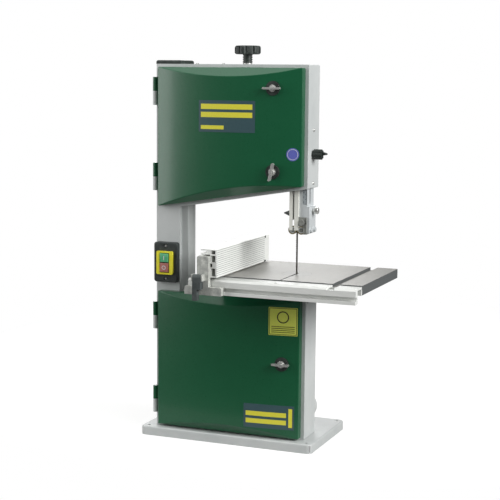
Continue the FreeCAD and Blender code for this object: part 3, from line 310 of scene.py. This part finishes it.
def ground_iron(name, dark, light, side):
    """Ground table: marks run along Y on top; the faces that don't look up take the darker `side` tone
    as painted shade.
    """
    material, tree, shader = new_finish(name, Metallic=0.15, Specular_IOR_Level=0.35)
    marks = noise(tree, 1.1 * MM, 4, (1, 0.02, 1), 0.7)
    cloud = noise(tree, 60 * MM, 4, (1, 0.5, 1))
    pores = cells(tree, 2.4 * MM)
    tone = blend(tree, remap(tree, marks, 0.3, 0.7, 0, 1), dark, light)
    tone = blend(tree, remap(tree, cloud, 0.4, 0.75, 0, 0.4), tone, dark)
    tone = blend(tree, remap(tree, pores, 0.12, 0.03, 0, 0.35), tone, side)
    # painted shade: faces that don't look up take the darker side tone
    tone = blend(tree, facing_up(tree), side, tone)
    skin = relief(tree, marks, 0.01 * MM, soft_edges(tree, 0.5 * MM))
    wire(tree, shader, tone, remap(tree, marks, 0.3, 0.7, 0.34, 0.5), skin)
    return material


def dull_rubber(name):
    material, tree, shader = new_finish(name, IOR=1.45)
    tone = blend(tree, noise(tree, 6 * MM, 4), rgb(26, 26, 26), rgb(48, 47, 45))
    grit = relief(tree, noise(tree, 0.8 * MM, 3), 0.05 * MM, soft_edges(tree, 0.5 * MM))
    wire(tree, shader, tone, remap(tree, noise(tree, 4 * MM), 0.3, 0.7, 0.6, 0.85), grit)
    return material


def printed_foil(name, dark, light):
    """Printed adhesive foil, with faint dot texture and rippled lacquer."""
    material, tree, shader = new_finish(name, Coat_Weight=0.3, Coat_Roughness=0.15)
    tone = blend(tree, remap(tree, cells(tree, 0.8 * MM), 0.1, 0.6, 0, 1), light, dark)
    ripple = relief(tree, noise(tree, 9 * MM, 2), 0.03 * MM)
    wire(tree, shader, tone, remap(tree, noise(tree, 5 * MM), 0.3, 0.7, 0.3, 0.4), ripple)
    return material


GREEN = hammered_paint("green_paint", rgb(6, 80, 48), rgb(24, 96, 62))
GREY = powder_coat("grey_paint", rgb(190, 194, 193), rgb(205, 208, 207))
GUARD = powder_coat("guard_paint", rgb(222, 222, 214), rgb(236, 236, 228))
MOTOR = powder_coat("motor_paint", rgb(40, 44, 46), rgb(62, 66, 68), dust=0.4)
BLACK = moulded_plastic("black_plastic", rgb(30, 36, 34), rgb(52, 60, 56))
LEVER = moulded_plastic("lever_plastic", rgb(62, 68, 68), rgb(84, 90, 90))
SWITCH = moulded_plastic("switch_black", rgb(38, 43, 43), rgb(56, 62, 61), depth=0.05 * MM)
YELLOW = moulded_plastic("yellow_plastic", rgb(232, 222, 50), rgb(244, 236, 78), (0.2, 0.3))
START = moulded_plastic("green_plastic", rgb(80, 166, 118), rgb(106, 186, 140), (0.2, 0.32))
STOP = moulded_plastic("red_plastic", rgb(168, 106, 98), rgb(186, 126, 116), (0.2, 0.32))
STEEL = machined_metal("steel", rgb(170, 171, 168), rgb(208, 209, 206), (1, 1, 0.06), metallic=0.6)
ZINC = machined_metal("zinc_plate", rgb(198, 203, 205), rgb(222, 226, 227), (1, 1, 0.05), (0.32, 0.46),
                      metallic=0.15)
BLADE = machined_metal("blade_steel", rgb(96, 92, 86), rgb(140, 136, 130), (1, 1, 0.03), (0.3, 0.5))
CHROME = machined_metal("chrome", rgb(214, 214, 210), rgb(238, 238, 235), (1, 1, 1), (0.16, 0.3),
                        0.004 * MM, metallic=0.7)
# painted shade: the aluminium's upper faces take the darker `top` tone
ALLOY = machined_metal("aluminium", rgb(228, 230, 226), rgb(244, 245, 242), (0.02, 1, 1), (0.3, 0.42),
                       metallic=0.05, top=rgb(176, 178, 174))
FENCE = machined_metal("fence_aluminium", rgb(236, 238, 233), rgb(250, 251, 248), (1, 0.02, 1),
                       (0.3, 0.42), metallic=0.02)
# painted shade: darker aluminium strips laid in the hollows between the fence's ribs
GROOVE_SHADE = machined_metal("fence_groove_shade", rgb(160, 164, 162), rgb(178, 181, 179), (1, 0.02, 1), (0.4, 0.5),
                        metallic=0.1)
DIE_CAST = cast_metal("die_cast", rgb(168, 171, 166), rgb(226, 227, 220), metallic=0.2)
GUIDE_CAST = cast_metal("guide_cast", rgb(112, 114, 110), rgb(176, 178, 172), metallic=0.3)
BRONZE = machined_metal("bearing_bronze", rgb(150, 138, 104), rgb(186, 174, 138), (1, 1, 1), (0.25, 0.4),
                        metallic=0.5)
# painted shade: faces of the table and insert that don't look up take the last, darker tone; the
# insert's rim in the gap round it is darkest
IRON = ground_iron("ground_iron", rgb(132, 131, 127), rgb(168, 167, 162), rgb(96, 99, 99))
INSERT = ground_iron("ground_insert", rgb(133, 133, 130), rgb(166, 166, 162), rgb(70, 72, 72))
ROUGH_IRON = cast_metal("rough_iron", rgb(92, 94, 93), rgb(128, 130, 128), lump=2.2 * MM)
RUBBER = dull_rubber("rubber")
PLATE_BLUE = printed_foil("plate_blue", rgb(54, 80, 86), rgb(66, 94, 100))
PLATE_YELLOW = printed_foil("plate_yellow", rgb(222, 214, 60), rgb(238, 230, 84))
NOTICE = printed_foil("notice_yellow", rgb(212, 220, 92), rgb(228, 234, 112))
PLATE_BLACK = printed_foil("plate_black", rgb(24, 26, 22), rgb(40, 42, 36))
DISC_BLUE = printed_foil("disc_blue", rgb(92, 98, 176), rgb(108, 114, 192))
PLATE_WHITE = printed_foil("plate_white", rgb(214, 216, 214), rgb(228, 230, 228))
SCALE = printed_foil("scale_foil", rgb(164, 172, 176), rgb(180, 187, 190))
MARKS = printed_foil("mark_ink", rgb(36, 38, 38), rgb(56, 58, 58))

SLOT_FINISH = {
    "green_paint": GREEN, "grey_paint": GREY, "guard_paint": GUARD, "motor_paint": MOTOR,
    "black_plastic": BLACK, "lever_plastic": LEVER, "switch_black": SWITCH, "yellow_plastic": YELLOW,
    "green_plastic": START, "red_plastic": STOP, "steel": STEEL, "chrome": CHROME, "aluminium": ALLOY,
    "die_cast": DIE_CAST, "cast_iron": IRON, "rubber": RUBBER,
}
NODE_FINISH = {
    "fence_extrusion": FENCE, "table_insert": INSERT, "guide_post": ZINC, "guide_bracket": ZINC,
    "guide_casting": GUIDE_CAST, "trunnion_base": ROUGH_IRON, "trunnion_segments": ROUGH_IRON,
    "saw_blade": BLADE,
}


def paint(obj, finish):
    obj.data.materials.clear()
    obj.data.materials.append(finish)


def paint_cad_nodes():
    for part in frame["record"]["subparts"]:
        finish = NODE_FINISH.get(part["node"], SLOT_FINISH[part["material_slot"]])
        for slot in frame["nodes"][part["node"]].material_slots:
            slot.material = finish


# ---------------------------------------------------------------- mesh helpers

def new_piece(name, mesh):
    data = bpy.data.meshes.new(name)
    mesh.to_mesh(data)
    mesh.free()
    obj = bpy.data.objects.new(name, data)
    bpy.context.scene.collection.objects.link(obj)
    return obj


def fit(obj, finish, body):
    """Paints a new piece and lets it ride on its body."""
    paint(obj, finish)
    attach(obj, body)


def rounded_outline(left, right, low, high, radius, steps=5):
    """Corner-rounded rectangle as points in XZ, anticlockwise."""
    points = []
    corners = ((right, low, -90), (right, high, 0), (left, high, 90), (left, low, 180))
    for x, z, start in corners:
        centre_x = x - math.copysign(radius, x - (left + right) / 2)
        centre_z = z - math.copysign(radius, z - (low + high) / 2)
        for step in range(steps + 1):
            angle = math.radians(start + 90 * step / steps)
            points.append((centre_x + radius * math.cos(angle), centre_z + radius * math.sin(angle)))
    return points


def round_outline(x, z, radius, steps=40):
    turn = 2 * math.pi / steps
    return [(x + radius * math.cos(turn * i), z + radius * math.sin(turn * i)) for i in range(steps)]


def ring_quads(outer, inner):
    """Quads that fill the ring between two outlines with the same number of points."""
    count = len(outer)
    return [(outer[i], outer[(i + 1) % count], inner[(i + 1) % count], inner[i]) for i in range(count)]


FACET = 6 * MM          # the widest strip of a foil on a bowed face


def foil(name, outlines, face, lift, finish, body, thickness=0.25 * MM):
    """Thin sheet cut to the outlines in XZ and laid `lift` in front of the surface y = face(x)."""
    mesh = bmesh.new()
    for outline in outlines:
        mesh.faces.new([mesh.verts.new((x, 0, z)) for x, z in outline])
    bmesh.ops.remove_doubles(mesh, verts=mesh.verts, dist=1e-6)
    left = min(v.co.x for v in mesh.verts)
    right = max(v.co.x for v in mesh.verts)
    cuts = int((right - left) / FACET)
    for i in range(1, cuts + 1):
        everything = mesh.verts[:] + mesh.edges[:] + mesh.faces[:]
        at = left + (right - left) * i / (cuts + 1)
        bmesh.ops.bisect_plane(mesh, geom=everything, plane_co=(at, 0, 0), plane_no=(1, 0, 0))
    raised = bmesh.ops.extrude_face_region(mesh, geom=mesh.faces[:])["geom"]
    front = {v for v in raised if isinstance(v, bmesh.types.BMVert)}
    for v in mesh.verts:
        v.co.y = face(v.co.x) - lift - (thickness if v in front else 0)
    bmesh.ops.recalc_face_normals(mesh, faces=mesh.faces)
    fit(new_piece(name, mesh), finish, body)


def slab(mesh, low, high):
    """Adds a box between two opposite corners."""
    low, high = Vector(low), Vector(high)
    at = Matrix.Translation((low + high) / 2) @ Matrix.Diagonal((*(high - low), 1))
    bmesh.ops.create_cube(mesh, size=1, matrix=at)


# ---------------------------------------------------------------- door plates

RISE = 15 * MM          # the doors' bow, from the shoulder to the nose
UNDER_LIFT = 0.05 * MM  # from the door to a plate's back
PRINT_LIFT = 0.3 * MM   # from the door to the print's back
PRINT = 0.12 * MM       # the print's thickness


def door_curve(node):
    """The front surface y = f(x) of a bowed door."""
    low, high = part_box(node)
    half, middle = (high.x - low.x) / 2, (high.x + low.x) / 2
    radius = (half ** 2 + RISE ** 2) / (2 * RISE)
    return lambda x: low.y + radius - math.sqrt(radius ** 2 - (x - middle) ** 2)


def bar(left, right, low, high):
    return ((left, low), (right, low), (right, high), (left, high))


def add_door_plates():
    """Plain plates and stickers: coloured fields with bars, and no lettering."""
    upper, lower = door_curve("upper_door"), door_curve("lower_door")

    def plate(name, face, body, left, right, low, high, finish):
        outline = rounded_outline(left * MM, right * MM, low * MM, high * MM, 1.2 * MM)
        foil(name, [outline], face, UNDER_LIFT, finish, body)

    def bars(name, face, body, boxes, finish):
        outlines = [bar(*(value * MM for value in box)) for box in boxes]
        foil(name, outlines, face, PRINT_LIFT, finish, body, PRINT)

    plate("upper_plate", upper, "upper_door", -62, 66, 673, 739.5, PLATE_BLUE)
    bars("upper_plate_bars", upper, "upper_door",
         [(-57, 60, 721, 732), (-57, 60, 704, 715), (-57, -4, 679, 687)], PLATE_YELLOW)
    plate("lower_plate", lower, "lower_door", 46, 157, 44, 96, PLATE_BLUE)
    bars("lower_plate_bars", lower, "lower_door",
         [(51, 140, 70, 80), (51, 140, 54, 64), (145, 153, 49, 90)], PLATE_YELLOW)
    plate("notice_plate", lower, "lower_door", 100, 162, 248, 308, NOTICE)
    bars("notice_plate_lines", lower, "lower_door",
         [(106, 156, 254 + 4 * row, 255.4 + 4 * row) for row in range(4)], PLATE_BLACK)
    edge = [rounded_outline(*(value * MM for value in box), 1 * MM)
            for box in ((101.5, 160.5, 249.5, 306.5), (102.6, 159.4, 250.6, 305.4))]
    foil("notice_plate_border", ring_quads(*edge), lower, PRINT_LIFT, PLATE_BLACK, "lower_door",
         PRINT)
    mark = [round_outline(131 * MM, 287 * MM, radius * MM) for radius in (13, 10.6)]
    foil("notice_plate_ring", ring_quads(*mark), lower, PRINT_LIFT, PLATE_BLACK, "lower_door",
         PRINT)
    centre = 147 * MM, 630 * MM
    foil("upper_disc", [round_outline(*centre, 13.5 * MM)], upper, UNDER_LIFT, DISC_BLUE, "upper_door")
    rim = [round_outline(*centre, radius * MM) for radius in (11.2, 10.4)]
    foil("upper_disc_rim", ring_quads(*rim), upper, PRINT_LIFT, PLATE_WHITE, "upper_door",
         0.1 * MM)


# ---------------------------------------------------------------- switch marks

def add_switch_marks():
    """Plain bar and ring on the two buttons."""
    for button in ("start_button", "stop_button"):
        low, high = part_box(button)
        x, z = (low.x + high.x) / 2, (low.z + high.z) / 2
        if button == "start_button":
            outlines = [bar(x - 0.8 * MM, x + 0.8 * MM, z - 4.5 * MM, z + 4.5 * MM)]
        else:
            outlines = ring_quads(round_outline(x, z, 4.6 * MM), round_outline(x, z, 3.2 * MM))
        foil(f"{button}_mark", outlines, lambda _, y=low.y: y, 0.02 * MM, PLATE_WHITE, button,
             0.15 * MM)


def screw_head(mesh, centre, axis, radius, height):
    """Pan head with a cross recess, standing on the centre point."""
    turn = Vector(axis).to_track_quat("Z", "Y").to_matrix().to_4x4()
    place_at = Matrix.Translation(centre) @ turn
    steps = 20
    rings = []
    for share, lift in ((1, 0), (1, 0.45), (0.86, 0.8), (0.6, 1.0)):
        ring = []
        for i in range(steps):
            angle = 2 * math.pi * i / steps
            wide = radius * share
            point = Vector((wide * math.cos(angle), wide * math.sin(angle), height * lift))
            ring.append(mesh.verts.new(place_at @ point))
        rings.append(ring)
    for low, high in zip(rings, rings[1:]):
        for i in range(steps):
            mesh.faces.new((low[i], low[(i + 1) % steps], high[(i + 1) % steps], high[i]))
    mesh.faces.new(list(reversed(rings[0])))
    arm, half, floor = radius * 0.5, radius * 0.13, height * 0.45
    cross = [(half, half), (half, arm), (-half, arm), (-half, half), (-arm, half), (-arm, -half),
             (-half, -half), (-half, -arm), (half, -arm), (half, -half), (arm, -half), (arm, half)]
    mouth = [mesh.verts.new(place_at @ Vector((x, y, height))) for x, y in cross]
    deep = [mesh.verts.new(place_at @ Vector((x * 0.7, y * 0.7, floor))) for x, y in cross]
    count = len(cross)
    for i in range(count):
        mesh.faces.new((mouth[i], mouth[(i + 1) % count], deep[(i + 1) % count], deep[i]))
    mesh.faces.new(deep)
    edges = [mesh.edges.get((rings[-1][i], rings[-1][(i + 1) % steps])) for i in range(steps)]
    edges += [mesh.edges.get((mouth[i], mouth[(i + 1) % count])) for i in range(count)]
    bmesh.ops.triangle_fill(mesh, use_beauty=True, edges=edges)
    bmesh.ops.recalc_face_normals(mesh, faces=mesh.faces)


# ---------------------------------------------------------------- blade

TOOTH_PITCH = 4.2 * MM
GULLET = 1.7 * MM
TOOTH_SET = 0.18 * MM
BLADE_THICKNESS = 0.6 * MM
TOOTH_PROFILE = ((0.0, 0.7), (0.25, 1.0), (0.6, 0.55), (0.93, 0.0))     # shares of pitch and gullet


def add_toothed_blade():
    """Endless blade in place of the plain CAD band: straight runs, half turns and raked teeth."""
    low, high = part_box("saw_blade")
    half_thick = BLADE_THICKNESS / 2
    radius = (high.x - low.x) / 2 - half_thick
    middle = (high.x + low.x) / 2
    bottom, top = low.z + radius + half_thick, high.z - radius - half_thick
    straight, bend = top - bottom, math.pi * radius
    whole = 2 * (straight + bend)
    teeth = round(whole / TOOTH_PITCH)

    def along(distance):
        """Point in XZ and outward direction along the loop, which starts down the right run."""
        distance %= whole
        if distance < straight:
            return (middle + radius, top - distance), (1, 0)
        distance -= straight
        if distance < bend:
            out = (math.cos(distance / radius), -math.sin(distance / radius))
            return (middle + radius * out[0], bottom + radius * out[1]), out
        distance -= bend
        if distance < straight:
            return (middle - radius, bottom + distance), (-1, 0)
        distance -= straight
        out = (-math.cos(distance / radius), math.sin(distance / radius))
        return (middle + radius * out[0], top + radius * out[1]), out

    mesh = bmesh.new()
    rows = []
    for tooth in range(teeth):
        lean = (tooth % 3 - 1) * TOOTH_SET
        for share, depth in TOOTH_PROFILE:
            (x, z), out = along((tooth + share) * whole / teeth)
            tip = lean * (1 - depth)
            row = []
            for y, shift in ((low.y + GULLET * depth, tip), (low.y + GULLET * 1.1, 0), (high.y, 0)):
                for side in (-1, 1):
                    reach = side * half_thick + shift
                    row.append(mesh.verts.new((x + out[0] * reach, y, z + out[1] * reach)))
            rows.append(row)
    for here, there in zip(rows, rows[1:] + rows[:1]):
        for a, b in ((0, 2), (2, 4), (4, 5), (5, 3), (3, 1), (1, 0)):
            mesh.faces.new((here[a], here[b], there[b], there[a]))
    bmesh.ops.recalc_face_normals(mesh, faces=mesh.faces)
    blade = new_piece("toothed_blade", mesh)
    fit(blade, BLADE, "root")
    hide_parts("saw_blade")


# ---------------------------------------------------------------- fence, scale and bearings

RIB_PITCH = 4.3 * MM
RIB_HEIGHT = 0.4 * MM


def add_fence_face():
    """Fine ribs along the fence's working face, dark strips of painted shade between them, and two end
    pads.
    """
    low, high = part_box("fence_extrusion")
    start, end = low.y + 0.3 * MM, high.y - 26 * MM
    ribs, groove_shade = bmesh.new(), bmesh.new()
    for i in range(int((high.z - low.z - 4 * MM) / RIB_PITCH) + 1):
        z = low.z + 2.5 * MM + i * RIB_PITCH
        slab(ribs, (high.x - 0.2 * MM, start, z - 1.5 * MM), (high.x + RIB_HEIGHT, end, z + 1.5 * MM))
        # painted shade: a dark strip in each hollow between two ribs
        slab(groove_shade, (high.x - 0.1 * MM, start, z + 1.7 * MM),
             (high.x + RIB_HEIGHT * 0.6, end, z + 2.6 * MM))
    rib_piece = new_piece("fence_ribs", ribs)
    soften = rib_piece.modifiers.new("rounded", "BEVEL")
    soften.width, soften.segments = 0.25 * MM, 2
    fit(rib_piece, FENCE, "fence")
    fit(new_piece("fence_groove_shade_strips", groove_shade), GROOVE_SHADE, "fence")
    pads = bmesh.new()
    inside, outside = high.x - 1 * MM, high.x + 0.8 * MM
    slab(pads, (inside, end, high.z - 5 * MM), (outside, end + 5 * MM, high.z - 0.5 * MM))
    slab(pads, (inside, end - 4 * MM, low.z), (outside, end + 7 * MM, low.z + 3 * MM))
    fit(new_piece("fence_end_pads", pads), BLACK, "fence")


TICK_STEP = 2 * MM
TICKS_PER_FIGURE = 5
FIRST_FIGURE, FIGURES = 2, 6


def add_height_scale():
    """Pale strip with graduation ticks and figures on the front of the guide post."""
    low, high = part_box("guide_post")
    left, right = low.x + 7.6 * MM, high.x - 0.6 * MM
    bottom, top = low.z + 27 * MM, low.z + 88 * MM

    def face(_):
        return low.y

    foil("height_scale", [bar(left, right, bottom, top)], face, 0.02 * MM, SCALE, "guide",
         0.15 * MM)
    ticks = []
    for i in range(int((top - bottom) / TICK_STEP)):
        z = bottom + (i + 0.5) * TICK_STEP
        length = (4.2 if i % TICKS_PER_FIGURE == 0 else 2.4) * MM
        ticks.append(bar(right - length, right - 0.2 * MM, z - 0.4 * MM, z + 0.4 * MM))
    foil("height_scale_ticks", ticks, face, 0.19 * MM, MARKS, "guide", 0.06 * MM)
    for i in range(FIGURES):
        words = bpy.data.curves.new(f"height_figure_{i}", "FONT")
        words.body, words.size, words.extrude = str(i + FIRST_FIGURE), 6 * MM, 0.03 * MM
        words.align_x, words.align_y = "CENTER", "CENTER"
        figure = bpy.data.objects.new(f"height_figure_{i}", words)
        figure.rotation_euler = (math.pi / 2, 0, 0)
        up = (i + 0.5) * TICKS_PER_FIGURE * TICK_STEP
        figure.location = (left + 1.9 * MM, low.y - 0.22 * MM, bottom + up)
        bpy.context.scene.collection.objects.link(figure)
        fit(figure, MARKS, "guide")


def add_bearing_faces():
    """Bronze-coloured race rings and pale shields on the ends of the guide rollers."""
    for body in ("left_guide_roller", "right_guide_roller"):
        low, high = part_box(body)
        x, z = (low.x + high.x) / 2, (low.z + high.z) / 2
        radius = (high.x - low.x) / 2
        rim = ring_quads(round_outline(x, z, radius * 0.99), round_outline(x, z, radius * 0.72))
        foil(f"{body}_race", rim, lambda _, y=low.y: y, 0.0, BRONZE, body, 0.3 * MM)
        shield = ring_quads(round_outline(x, z, radius * 0.70), round_outline(x, z, radius * 0.46))
        foil(f"{body}_shield", shield, lambda _, y=low.y: y, 0.0, ZINC, body, 0.15 * MM)


# ---------------------------------------------------------------- motor and back

def add_motor_details():
    """Four screws in the lid of the motor's terminal box."""
    low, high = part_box("motor_body")
    middle = (low.x + high.x) / 2
    mesh = bmesh.new()
    for side in (-1, 1):
        for back in (77, 21):
            at = (middle + side * 21 * MM, high.y - back * MM, high.z)
            screw_head(mesh, at, (0, 0, 1), 2.8 * MM, 1.6 * MM)
    fit(new_piece("terminal_screws", mesh), STEEL, "root")


# ---------------------------------------------------------------- run

paint_cad_nodes()
add_camera()
add_studio()
add_door_plates()
add_switch_marks()
add_toothed_blade()
add_fence_face()
add_height_scale()
add_bearing_faces()
add_motor_details()
